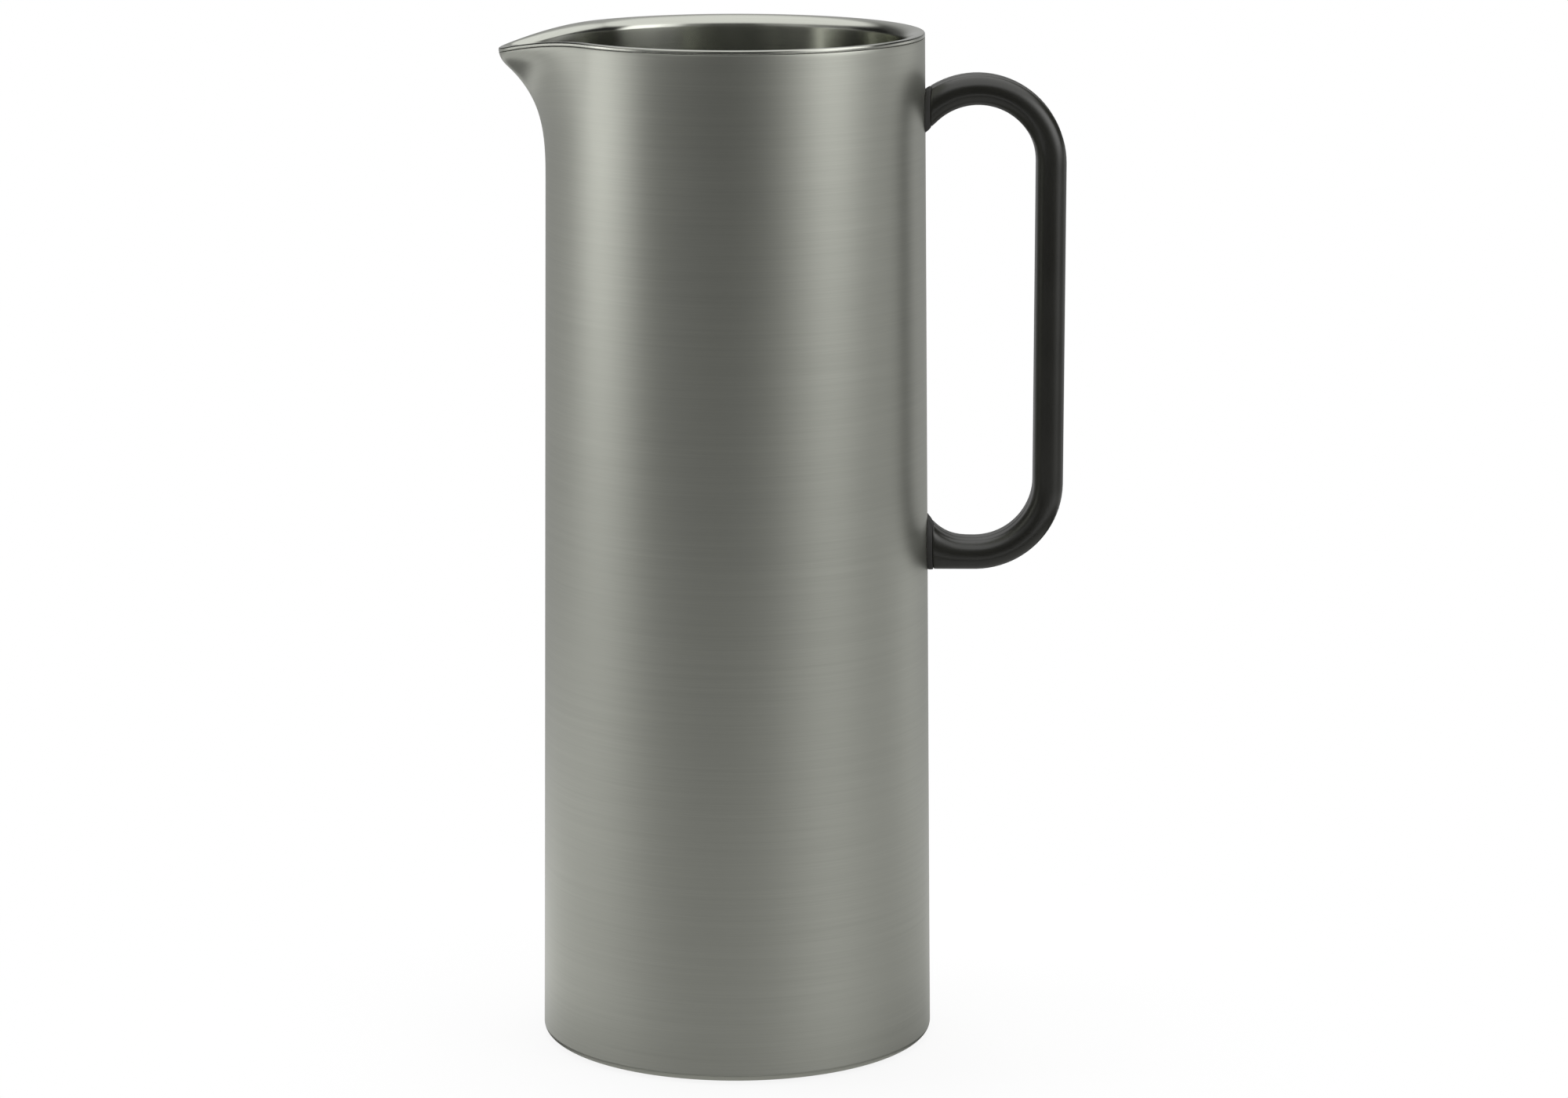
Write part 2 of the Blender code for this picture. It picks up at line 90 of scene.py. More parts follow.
# The handle: a flat-oval bar bent in one plane, with a faint mould line along its middle
HANDLE_THICKNESS = 8.0 * MM
HANDLE_WIDTH = 15 * MM
HANDLE_EDGE = 3.7 * MM
HANDLE_BEND = 20 * MM
HANDLE_GAP = 30.4 * MM
HANDLE_DROP = 15.4 * MM
HANDLE_SPAN = 127.7 * MM
UPPER_ARM_SLOPE = math.radians(43)
FOOT_RISE = 6.0 * MM
FOOT_RISE_POWER = 3
FOOT_EDGE = 0.4 * MM
MOULD_LINE_HEIGHT = 0.06 * MM
MOULD_LINE_HALF = 0.25 * MM

# The fixings inside the feet
FIT = 0.3 * MM
GASKET_THICKNESS = 1.0 * MM
GASKET_BULGE = 0.12 * MM
TOUCH = 0.03 * MM
SCREW_RADIUS = 1.45 * MM
SCREW_PITCH = 0.5 * MM
THREAD_DEPTH = 0.25 * MM
SCREW_HEAD_RADIUS = 2.75 * MM
SCREW_HEAD_HEIGHT = 1.6 * MM
SOCKET_RADIUS = 1.4 * MM
SOCKET_DEPTH = 1.0 * MM
SOCKET_SIDES = 6
INSERT_WALL = 0.5 * MM
INSERT_LENGTH = 5.0 * MM
KNURL_DEPTH = 0.15 * MM
KNURL_COUNT = 22
BACKING_THICKNESS = 1.0 * MM
BACKING_SIDE = 14 * MM

# The insulation. Each of the two waves on its faces has waves per turn and radians per metre of height.
FOAM_EDGE = 0.8 * MM
FOAM_WAVE = 0.09 * MM
FOAM_WAVES = ((7, 160), (11, -95))

# How finely curves are divided
ROUND_STEPS = 288
SMALL_STEPS = 60
SPOUT_STEPS = 40
WALL_STEPS = 12
RIM_STEPS = 24
CORNER_STEPS = 10
EDGE_STEPS = 4
BAR_STEP = 1.4 * MM
FOOT_STEPS = 6
WALL_HALVINGS = 40
FOAM_STEPS = 144
FOAM_ROWS = 48
THREAD_ROWS = 8
KNURL_STEPS = 6
INSERT_ROWS = 30
FLOOR_RINGS = 24
STUDIO_STEPS = 96
STUDIO_ROWS = 8
DOME_STEPS = 12
SHARP_ANGLE = math.radians(38)

# The metals: two colours, the roughness and its spread.
# Turned steel also has the anisotropy and the depth of the fine lines round it.
SATIN_STEEL = {
    "dark": (0.50, 0.51, 0.455),
    "light": (0.58, 0.59, 0.53),
    "roughness": 0.38,
    "spread": 0.04,
    "anisotropy": 0.0,
    "line_depth": 0.02 * MM,
}
POLISHED_STEEL = {
    "dark": (0.53, 0.54, 0.485),
    "light": (0.59, 0.60, 0.54),
    "roughness": 0.18,
    "spread": 0.03,
    "anisotropy": 0.9,
    "line_depth": 0.01 * MM,
}
ROLLED_STEEL = {
    "dark": (0.42, 0.42, 0.41),
    "light": (0.55, 0.55, 0.53),
    "roughness": 0.38,
    "spread": 0.06,
}
TURNED_BRASS = {
    "dark": (0.62, 0.42, 0.15),
    "light": (0.76, 0.55, 0.23),
    "roughness": 0.34,
    "spread": 0.06,
}
LINES_ROTATION = 0.25
METAL_RELIEF = 0.02 * MM

# The other materials: two colours, the range of the roughness and the depth of the grain
NYLON_DARK = (0.008, 0.008, 0.005)
NYLON_LIGHT = (0.013, 0.013, 0.009)
NYLON_ROUGHNESS = (0.26, 0.37)
NYLON_IOR = 1.7
NYLON_RELIEF = 0.03 * MM
SILICONE_DARK = (0.022, 0.022, 0.021)
SILICONE_LIGHT = (0.036, 0.035, 0.033)
SILICONE_ROUGHNESS = (0.58, 0.74)
SILICONE_RELIEF = 0.03 * MM
FOAM_LIGHT = (0.80, 0.73, 0.55)
FOAM_DARK = (0.66, 0.58, 0.40)
FOAM_ROUGHNESS = (0.85, 0.98)
FOAM_RELIEF = 0.25 * MM

# How fine each material's noise is along X, Y and Z, per metre
STEEL_LINES = (28, 28, 5200)
STEEL_BROAD_LINES = (14, 14, 900)
STEEL_CLOUD = (26, 26, 18)
METAL_GRAIN = (900, 900, 2600)
METAL_CLOUD = (110, 110, 110)
NYLON_GRAIN = (1500, 1500, 1500)
NYLON_CLOUD = (45, 45, 45)
SILICONE_GRAIN = (2600, 2600, 2600)
SILICONE_CLOUD = (70, 70, 70)
FOAM_CELLS = (1100, 1100, 1100)
FOAM_CLOUD = (60, 60, 60)
FLOOR_CLOUD = (9, 9, 9)

# The range in which most of a noise lies
NOISE_LOW = 0.25
NOISE_HIGH = 0.75

# The studio: the camera, the floor, the world's light, and the wall that the steel reflects
CAMERA_PLACE = (0.0131, -1.3111, 0.4078)
CAMERA_TILT = math.radians(78.314)
CAMERA_LENS = 111.59
CAMERA_SENSOR = 36
WHITE = (1, 1, 1, 1)
WORLD_LIGHT = 0.55
FLOOR_RADIUS = 0.22
FLOOR_FADE_START = 0.06
FLOOR_WHITE = 0.87
FLOOR_DARK = (0.92, 0.92, 0.92)
FLOOR_LIGHT = (0.95, 0.95, 0.95)
FLOOR_ROUGHNESS = 0.9
WALL_RADIUS = 1.5
WALL_LOW = -1.2
WALL_HIGH = 0.6

# The bands that lie over the studio wall's foot: the height where each sets in, and where it is full
MIDDLE_BAND = (-0.40, -0.24)
TOP_BAND = (-0.03, 0.17)
# Painted shade and a painted floor reflection: the steel sees these two bands where the floor would be
SHADE_BAND = (-0.42, -0.53)
GROUND_BAND = (-0.75, -1.15)
RAISED_BAND = (0.2, 0.42)
OVERHEAD_BAND = (1.15, 1.45)

# The tones of the bands that are the same all round. The shade band is painted shadow: the floor's
# darkening round the jug, as the steel reflects it. The ground band is a painted reflection of the pale
# floor, which reflections do not see.
SHADE_TONE = (0, 0, 0)
GROUND_TONE = (0.38, 0.38, 0.37)
OVERHEAD_TONE = (1.1, 1.1, 1.1)

# The studio wall's tone at its top, middle and foot, by azimuth in degrees.
# Zero is behind the camera and 90 is to the right.
WALL_TONES = [
    (-180, 0.40, 0.42, 0.98),
    (-140, 0.38, 0.40, 1.24),
    (-112, 0.55, 0.38, 1.29),
    (-87, 2.95, 0.28, 1.38),
    (-72, 2.00, 0.19, 1.45),
    (-55, 0.19, 0.12, 1.44),
    (-40, 0.07, 0.03, 1.38),
    (-18, 0.08, 0.00, 1.34),
    (16, 0.10, 0.00, 1.49),
    (36, 0.55, 0.07, 1.70),
    (56, 1.36, 0.11, 1.80),
    (80, 0.14, 0.13, 1.34),
    (102, 0.46, 0.34, 0.82),
    (122, 0.84, 0.58, 0.66),
    (145, 0.36, 0.38, 0.72),
    (180, 0.40, 0.42, 0.98),
]

# The raised band's tone by azimuth: a dim soft box on the left, a bright one on the right, dark between
RAISED_TONES = [
    (-180, 0.45),
    (-150, 0.10),
    (-125, 0.02),
    (-100, 0.02),
    (-84, 0.20),
    (-64, 0.30),
    (-45, 0.42),
    (-28, 0.30),
    (-8, 0.06),
    (14, 0.08),
    (32, 0.28),
    (50, 1.45),
    (62, 2.15),
    (82, 2.05),
    (94, 0.02),
    (125, 0.02),
    (150, 0.10),
    (180, 0.45),
]

# Each lamp's place, width, height and power
LAMPS = {
    "lamp_left": ((-1.2, 0.1, 0.7), 0.6, 1.0, 4.0),
    "lamp_right": ((1.0, -0.7, 0.7), 0.6, 1.0, 4.0),
    "lamp_top": ((0, 0.3, 1.2), 0.9, 0.9, 8.0),
}

# What follows from the sizes above
RIM_RADIUS = BASE_RADIUS - BODY_DRAFT
RIM_WIDTH = 2 * SHEET + WALL_SPACE
CREST_DEPTH = SHEET + LIP_ROLL
LIP_EDGE = BODY_HEIGHT - RIM_CROWN
SHELL_TOP = LIP_EDGE - SEAM
SPOUT_START = BODY_HEIGHT - SPOUT_LENGTH
HEM_TOP = FOOT_LIFT + SHEET
HANDLE_BAR_X = RIM_RADIUS + HANDLE_GAP + HANDLE_THICKNESS / 2
BEND_X = HANDLE_BAR_X - HANDLE_BEND
HANDLE_TOP = BODY_HEIGHT - HANDLE_DROP
LOWER_ARM_Z = HANDLE_TOP - HANDLE_SPAN
UPPER_TURN = QUARTER + UPPER_ARM_SLOPE
UPPER_ARC = HANDLE_BEND * UPPER_TURN
BAR_LENGTH = HANDLE_SPAN - 2 * HANDLE_BEND
LOWER_ARC = HANDLE_BEND * QUARTER
LOWER_ARM_START = UPPER_ARC + BAR_LENGTH + LOWER_ARC
ARM_REACH = 1.5 * HANDLE_BEND
FOOT_FACE_INSETS = (0.7 * HANDLE_EDGE, 0.35 * HANDLE_EDGE)
FOOT_STANDOFF = FIT + GASKET_THICKNESS + FIT
INSERT_BORE = SCREW_RADIUS + FIT
INSERT_RADIUS = INSERT_BORE + INSERT_WALL
SCREW_HEAD_DEPTH = SHEET + FIT + BACKING_THICKNESS + FIT
SCREW_HEAD_ROUND = SCREW_HEAD_HEIGHT / 4
SCREW_HEAD_BEVEL = SCREW_HEAD_ROUND / 4
SCREW_TIP = SCREW_RADIUS / 3
SHELL_HOLE_REACH = 4 * SHEET
FOAM_POCKET_RADIUS = 0.78 * BACKING_SIDE

# For each arm of the handle, a distance along it that is inside the wall and one that is outside
HANDLE_ENDS = {
    "upper": (-ARM_REACH, UPPER_ARC / 2),
    "lower": (LOWER_ARM_START + ARM_REACH, LOWER_ARM_START),
}


def body_radius(z):
    """The shell's outside radius at a height, where no spout is drawn out."""
    return BASE_RADIUS - BODY_DRAFT * z / BODY_HEIGHT


def at_depth(depth, z):
    """A profile point at a depth inside the shell's outside face."""
    return (body_radius(z) - depth, z)


def spaced(start, end, steps):
    return [start + (end - start) * i / steps for i in range(steps + 1)]


def arc(centre_x, centre_z, radius, start, end, steps):
    """Points along an arc in the XZ plane."""
    angles = spaced(start, end, steps)
    return [(centre_x + radius * math.cos(a), centre_z + radius * math.sin(a)) for a in angles]


# Meshes


def join_rings(shape, first, second):
    """Faces between two closed rings of vertices. A ring of one vertex is a pole."""
    count = max(len(first), len(second))
    for i in range(count):
        j = (i + 1) % count
        if len(first) == 1:
            shape.faces.new((first[0], second[j], second[i]))
        elif len(second) == 1:
            shape.faces.new((first[i], first[j], second[0]))
        else:
            shape.faces.new((first[i], first[j], second[j], second[i]))


def ringed_mesh(name, rings, closed=False):
    """A mesh from rings of points, each joined to the next, and if closed the last to the first."""
    shape = bmesh.new()
    made = [[shape.verts.new(point) for point in ring] for ring in rings]
    for first, second in zip(made, made[1:]):
        join_rings(shape, first, second)
    if closed:
        join_rings(shape, made[-1], made[0])
    bmesh.ops.recalc_face_normals(shape, faces=shape.faces)
    mesh = bpy.data.meshes.new(name)
    shape.to_mesh(mesh)
    shape.free()
    return mesh


def ring_point(radius, angle, z):
    return (radius * math.cos(angle), radius * math.sin(angle), z)


def turned_ring(radius, z, steps):
    if radius == 0:
        return [(0, 0, z)]
    return [ring_point(radius, TURN * i / steps, z) for i in range(steps)]


def turned_mesh(name, profile, closed, steps=ROUND_STEPS):
    """A profile of (radius, height) turned round the Z axis."""
    return ringed_mesh(name, [turned_ring(radius, z, steps) for radius, z in profile], closed)


def smooth(mesh):
    mesh.shade_smooth()
    mesh.set_sharp_from_angle(angle=SHARP_ANGLE)


def new_object(name, data):
    made = bpy.data.objects.new(name, data)
    bpy.context.scene.collection.objects.link(made)
    return made


def carve(piece, cutters):
    """Cuts meshes out of a piece, and removes the cutters."""
    for cutter in cutters:
        step = piece.modifiers.new(cutter.name, "BOOLEAN")
        step.operation = "DIFFERENCE"
        step.solver = "EXACT"
        step.object = cutter
    bpy.context.view_layer.update()
    graph = bpy.context.evaluated_depsgraph_get()
    mesh = bpy.data.meshes.new_from_object(piece.evaluated_get(graph))
    piece.modifiers.clear()
    piece.data = mesh
    for cutter in cutters:
        bpy.data.objects.remove(cutter)


def dress(piece, finish, slot, *nodes):
    """Gives a piece its finish, and puts it in place of CAD nodes. The slot is not used."""
    smooth(piece.data)
    piece.data.materials.clear()
    piece.data.materials.append(finish)
    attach(piece, "root")
    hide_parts(*nodes)
    return piece


def rod_cutter(name, radius, start, end, z, segments=SMALL_STEPS):
    """A prism along X between two distances from the jug's axis, to be cut out of a piece."""
    shape = bmesh.new()
    ends = {"radius1": radius, "radius2": radius, "depth": end - start}
    bmesh.ops.create_cone(shape, cap_ends=True, segments=segments, **ends)
    for vertex in shape.verts:
        along, across = vertex.co.z, vertex.co.x
        vertex.co = ((start + end) / 2 + along, vertex.co.y, z - across)
    mesh = bpy.data.meshes.new(name)
    shape.to_mesh(mesh)
    shape.free()
    return new_object(name, mesh)


# Node materials


class Finish:
    """A material's node tree, with short calls for the nodes that the finishes share."""

    def __init__(self, name):
        self.material = bpy.data.materials.new(name)
        self.material.use_nodes = True
        self.tree = self.material.node_tree
        self.shader = self.tree.nodes["Principled BSDF"]

    def add(self, kind, **inputs):
        node = self.tree.nodes.new(kind)
        for name, value in inputs.items():
            self.feed(node.inputs[name.replace("_", " ")], value)
        return node

    def feed(self, socket, value):
        """Links an output to a socket, or sets a plain value on it."""
        if isinstance(value, bpy.types.NodeSocket):
            self.tree.links.new(value, socket)
        else:
            socket.default_value = value

    def set(self, **inputs):
        for name, value in inputs.items():
            self.feed(self.shader.inputs[name.replace("_", " ")], value)

    def place(self):
        """The point on the surface, in metres."""
        return self.add("ShaderNodeTexCoord").outputs["Object"]

    def math(self, operation, *values):
        node = self.add("ShaderNodeMath")
        node.operation = operation
        for socket, value in zip(node.inputs, values):
            self.feed(socket, value)
        return node.outputs[0]

    def length(self, vector):
        node = self.add("ShaderNodeVectorMath")
        node.operation = "LENGTH"
        self.feed(node.inputs[0], vector)
        return node.outputs["Value"]

    def mean(self, first, second, share):
        """A weighted mean of two values, with the first one's share."""
        rest = self.math("MULTIPLY", second, 1 - share)
        return self.math("MULTIPLY_ADD", first, share, rest)

    def stretched(self, vector, scale):
        node = self.add("ShaderNodeMapping", Vector=vector, Scale=scale)
        return node.outputs["Vector"]

    def noise(self, scale, detail, roughness=0.5, place=None):
        """Noise over the surface, or over other coordinates if they are given."""
        vector = self.stretched(self.place() if place is None else place, scale)
        settings = {"Scale": 1.0, "Detail": detail, "Roughness": roughness}
        return self.add("ShaderNodeTexNoise", Vector=vector, **settings).outputs["Fac"]

    def ranged(self, value, start, end, low, high):
        """A node that maps a value's range from start to end onto the range from low to high."""
        limits = {"From_Min": start, "From_Max": end, "To_Min": low, "To_Max": high}
        return self.add("ShaderNodeMapRange", Value=value, **limits)

    def span(self, value, low, high):
        """Spreads a noise value between two numbers."""
        return self.ranged(value, NOISE_LOW, NOISE_HIGH, low, high).outputs["Result"]

    def ease(self, value, start, end):
        """Rises smoothly from zero to one as a value goes from start to end, upwards or downwards."""
        if start < end:
            node = self.ranged(value, start, end, 0, 1)
        else:
            node = self.ranged(value, end, start, 1, 0)
        node.interpolation_type = "SMOOTHSTEP"
        return node.outputs["Result"]

    def blend(self, factor, first, second):
        """A colour between two colours."""
        node = self.add("ShaderNodeMix")
        node.data_type = "RGBA"
        self.feed(node.inputs["Factor"], factor)
        sockets = [socket for socket in node.inputs if socket.type == "RGBA"]
        for socket, colour in zip(sockets, (first, second)):
            self.feed(socket, (*colour, 1) if isinstance(colour, tuple) else colour)
        return next(socket for socket in node.outputs if socket.type == "RGBA")

    def tint(self, value, first, second):
        """Colours the surface between two colours by a noise value."""
        self.set(Base_Color=self.blend(self.span(value, 0, 1), first, second))

    def roughen(self, value, low, high):
        """Spreads the surface's roughness between two numbers by a noise value."""
        self.set(Roughness=self.span(value, low, high))

    def bump(self, height, strength, distance):
        node = self.add("ShaderNodeBump", Height=height, Strength=strength, Distance=distance)
        self.set(Normal=node.outputs["Normal"])


def turned_place(finish):
    """Coordinates whose third number runs along a turned piece's profile.

    It grows up the piece's walls and out over its floor.
    """
    parts = finish.add("ShaderNodeSeparateXYZ", Vector=finish.place()).outputs
    flat = finish.add("ShaderNodeCombineXYZ", X=parts["X"], Y=parts["Y"]).outputs["Vector"]
    along = finish.math("ADD", parts["Z"], finish.length(flat))
    return finish.add("ShaderNodeCombineXYZ", X=parts["X"], Y=parts["Y"], Z=along).outputs["Vector"]


def turned_steel(name, dark, light, roughness, spread, anisotropy, line_depth):
    """Steel with fine lines round it, as a belt or a lathe tool leaves them."""
    finish = Finish(name)
    place = turned_place(finish)
    fine = finish.noise(STEEL_LINES, detail=3, roughness=0.6, place=place)
    broad = finish.noise(STEEL_BROAD_LINES, detail=2, place=place)
    cloud = finish.noise(STEEL_CLOUD, detail=3)
    lines = finish.mean(broad, fine, share=0.4)
    finish.tint(lines, dark, light)
    finish.roughen(finish.mean(cloud, lines, share=0.5), roughness - spread, roughness + spread)
    finish.set(Metallic=1.0, Anisotropic=anisotropy, Anisotropic_Rotation=LINES_ROTATION)
    tangent = finish.add("ShaderNodeTangent")
    tangent.direction_type = "RADIAL"
    tangent.axis = "Z"
    finish.set(Tangent=tangent.outputs["Tangent"])
    finish.bump(lines, strength=0.25, distance=line_depth)
    return finish.material


def moulded_nylon():
    """Black glass-filled nylon with the fine grain of an eroded mould."""
    finish = Finish("black_nylon")
    grain = finish.noise(NYLON_GRAIN, detail=3, roughness=0.6)
    cloud = finish.noise(NYLON_CLOUD, detail=4)
    finish.tint(cloud, NYLON_DARK, NYLON_LIGHT)
    finish.roughen(finish.mean(cloud, grain, share=0.6), *NYLON_ROUGHNESS)
    finish.set(IOR=NYLON_IOR)
    finish.bump(grain, strength=0.3, distance=NYLON_RELIEF)
    return finish.material


def soft_silicone():
    """Dark rubber with a dull, even grain."""
    finish = Finish("dark_silicone")
    grain = finish.noise(SILICONE_GRAIN, detail=2)
    cloud = finish.noise(SILICONE_CLOUD, detail=4)
    finish.tint(cloud, SILICONE_DARK, SILICONE_LIGHT)
    finish.roughen(cloud, *SILICONE_ROUGHNESS)
    finish.bump(grain, strength=0.35, distance=SILICONE_RELIEF)
    return finish.material


def rigid_foam():
    """Pale insulating foam with a skin of small cells."""
    finish = Finish("pale_foam")
    place = finish.stretched(finish.place(), FOAM_CELLS)
    cells = finish.add("ShaderNodeTexVoronoi", Vector=place, Scale=1.0).outputs["Distance"]
    cloud = finish.noise(FOAM_CLOUD, detail=4)
    finish.tint(finish.mean(cells, cloud, share=0.5), FOAM_LIGHT, FOAM_DARK)
    finish.roughen(cloud, *FOAM_ROUGHNESS)
    finish.bump(cells, strength=0.6, distance=FOAM_RELIEF)
    return finish.material


def plain_metal(name, dark, light, roughness, spread):
    """Rolled or turned metal with a fine, even grain."""
    finish = Finish(name)
    grain = finish.noise(METAL_GRAIN, detail=3)
    cloud = finish.noise(METAL_CLOUD, detail=3)
    mixed = finish.mean(cloud, grain, share=0.5)
    finish.tint(mixed, dark, light)
    finish.set(Metallic=1.0)
    finish.roughen(mixed, roughness - spread, roughness + spread)
    finish.bump(grain, strength=0.2, distance=METAL_RELIEF)
    return finish.material


# The body's pieces


def spout_share(angle):
    """How much of the spout's reach the rim has at an angle from the beak's middle.

    Seen from above, the rim is a circle and a small tip circle, joined by their common tangents.
    """
    tip_centre = RIM_RADIUS + SPOUT_REACH - SPOUT_TIP_RADIUS
    flank = math.acos((RIM_RADIUS - SPOUT_TIP_RADIUS) / tip_centre)
    tip_side = SPOUT_TIP_RADIUS * math.sin(flank)
    tip = math.atan2(tip_side, tip_centre + SPOUT_TIP_RADIUS * math.cos(flank))
    angle = abs(angle)
    if angle >= flank:
        return 0
    if angle > tip:
        radius = RIM_RADIUS / math.cos(flank - angle)
    else:
        across = tip_centre * math.sin(angle)
        radius = tip_centre * math.cos(angle) + math.sqrt(SPOUT_TIP_RADIUS**2 - across**2)
    return (radius - RIM_RADIUS) / SPOUT_REACH


def spout_rise(z):
    """How far up the spout a height is: zero where it begins, and one along its upright lip."""
    flare = SPOUT_LENGTH - SPOUT_LIP
    rise = max(z - SPOUT_START, 0)
    past = min(max(rise - flare + SPOUT_SOFTNESS, 0), 2 * SPOUT_SOFTNESS)
    return min(rise - past**2 / (4 * SPOUT_SOFTNESS), flare) / flare


def rim_lift(z):
    """How much higher the rim's inner edge lies where the rim thins out at the spout.

    The wall under that edge goes up with it, less and less further down.
    """
    edge = BODY_HEIGHT - RIM_FALL
    if z > edge:
        return SPOUT_RIM_LIFT * (BODY_HEIGHT - z) / RIM_FALL
    return SPOUT_RIM_LIFT * max(1 - (edge - z) / SPOUT_LENGTH, 0)


def draw_spout(mesh):
    """Pulls the beak out of a turned wall, and closes the two walls up on each other towards its lip."""
    for vertex in mesh.vertices:
        x, y, z = vertex.co
        rise = spout_rise(z)
        angle = math.atan2(y, -x)
        share = spout_share(angle)
        pull = share * rise**SPOUT_REACH_POWER
        if pull == 0:
            continue
        depth = body_radius(z) - math.hypot(x, y)
        across = min(max((depth - SHEET) / WALL_SPACE, 0), 1)
        depth -= (WALL_SPACE - SPOUT_WALL_SPACE) * pull * across
        radius = body_radius(z) - depth + SPOUT_REACH * pull
        lower = SPOUT_DIP * share * rise**SPOUT_DIP_POWER
        if depth > CREST_DEPTH:
            lower -= rim_lift(z) * math.sqrt(share)
        vertex.co = (-radius * math.cos(angle), radius * math.sin(angle), z - lower)


def wall_heights(top, bottom):
    """Heights of a wall's rows of points: close together along the spout, then wide apart."""
    return spaced(top, SPOUT_START, SPOUT_STEPS) + spaced(SPOUT_START, bottom, WALL_STEPS)[1:]


def foot_corner(depth, bottom):
    """The rounded corner where a wall at a depth inside the shell's outside face turns in to the base."""
    radius = EDGE_RADIUS - depth
    centre_x = body_radius(0) - depth - radius
    return arc(centre_x, bottom + radius, radius, 0, -QUARTER, CORNER_STEPS)


def upright_edge(z, outer, inner):
    """The eased top edge of a sheet between two depths, from its inner face over to its outer face."""
    inner_x = body_radius(z) - inner + SHEET_EDGE
    outer_x = body_radius(z) - outer - SHEET_EDGE
    inner_side = arc(inner_x, z - SHEET_EDGE, SHEET_EDGE, 2 * QUARTER, QUARTER, EDGE_STEPS)
    outer_side = arc(outer_x, z - SHEET_EDGE, SHEET_EDGE, QUARTER, 0, EDGE_STEPS)
    return inner_side + outer_side


def shell_profile():
    """The outer wall, with its lower edge turned in as a hem."""
    heights = wall_heights(SHELL_TOP - SHEET_EDGE, FOOT_LIFT + EDGE_RADIUS)
    hem_x = body_radius(0) - HEM_WIDTH
    half = SHEET / 2
    outside = [at_depth(0, z) for z in heights[1:-1]] + foot_corner(0, FOOT_LIFT)
    hem = arc(hem_x + half, FOOT_LIFT + half, half, -QUARTER, -3 * QUARTER, CORNER_STEPS)
    inside = foot_corner(SHEET, HEM_TOP)[::-1] + [at_depth(SHEET, z) for z in heights[-2:0:-1]]
    return upright_edge(SHELL_TOP, 0, SHEET) + outside + hem + inside


def build_shell(finish):
    mesh = turned_mesh("satin_shell", shell_profile(), True)
    draw_spout(mesh)
    shell = new_object("satin_shell", mesh)
    holes = []
    for side, z in foot_heights().items():
        start = body_radius(z) - SHELL_HOLE_REACH
        end = body_radius(z) + SHELL_HOLE_REACH
        holes.append(rod_cutter(f"screw_hole_{side}", INSERT_BORE, start, end, z))
    carve(shell, holes)
    return dress(shell, finish, "steel_satin", "outer_shell")


def rim_arch(sheet):
    """The rim from inside up to its crest, and down to just short of the lip's edge."""
    crown = RIM_CROWN - sheet
    last = math.pi - math.asin((SHEET_EDGE / crown) ** (1 / CROWN_CORNER))
    points = []
    for angle in spaced(0, QUARTER, RIM_STEPS):
        depth = CREST_DEPTH + (RIM_WIDTH - CREST_DEPTH - sheet) * math.cos(angle)
        points.append(at_depth(depth, BODY_HEIGHT - RIM_FALL + (RIM_FALL - sheet) * math.sin(angle)))
    for angle in spaced(QUARTER, last, RIM_STEPS // 2)[1:]:
        depth = CREST_DEPTH - (CREST_DEPTH - sheet) * abs(math.cos(angle)) ** CROWN_CORNER
        points.append(at_depth(depth, LIP_EDGE + crown * math.sin(angle) ** CROWN_CORNER))
    return points


def lip_edge():
    """The eased lower edge of the rolled lip, from its outer face in."""
    wall = body_radius(LIP_EDGE)
    z = LIP_EDGE + SHEET_EDGE
    outer_side = arc(wall - SHEET_EDGE, z, SHEET_EDGE, 0, -QUARTER, EDGE_STEPS)
    inner_side = arc(wall - SHEET + SHEET_EDGE, z, SHEET_EDGE, -QUARTER, -2 * QUARTER, EDGE_STEPS)
    return outer_side + inner_side


def liner_profile():
    """The inner vessel: floor, wall, and a rim rolled over the shell's top edge."""
    corner_z = FLOOR_HEIGHT + FLOOR_CORNER
    corner_x = body_radius(corner_z) - RIM_WIDTH - FLOOR_CORNER
    heights = wall_heights(BODY_HEIGHT - RIM_FALL, corner_z)
    floor_radii = spaced(0, corner_x, CORNER_STEPS)
    inside = [(radius, FLOOR_HEIGHT) for radius in floor_radii[:-1]]
    inside += arc(corner_x, corner_z, FLOOR_CORNER, -QUARTER, 0, RIM_STEPS)
    inside += [at_depth(RIM_WIDTH, z) for z in heights[-2:0:-1]]
    rim = rim_arch(0)[:-1] + lip_edge() + rim_arch(SHEET)[-2::-1]
    outside = [at_depth(RIM_WIDTH - SHEET, z) for z in heights[1:-1]]
    outside += arc(corner_x, corner_z, FLOOR_CORNER + SHEET, 0, -QUARTER, RIM_STEPS)
    outside += [(radius, FLOOR_HEIGHT - SHEET) for radius in floor_radii[-2::-1]]
    return inside + rim + outside


def build_liner(finish):
    mesh = turned_mesh("rolled_liner", liner_profile(), False)
    draw_spout(mesh)
    return dress(new_object("rolled_liner", mesh), finish, "steel_polished", "inner_liner")


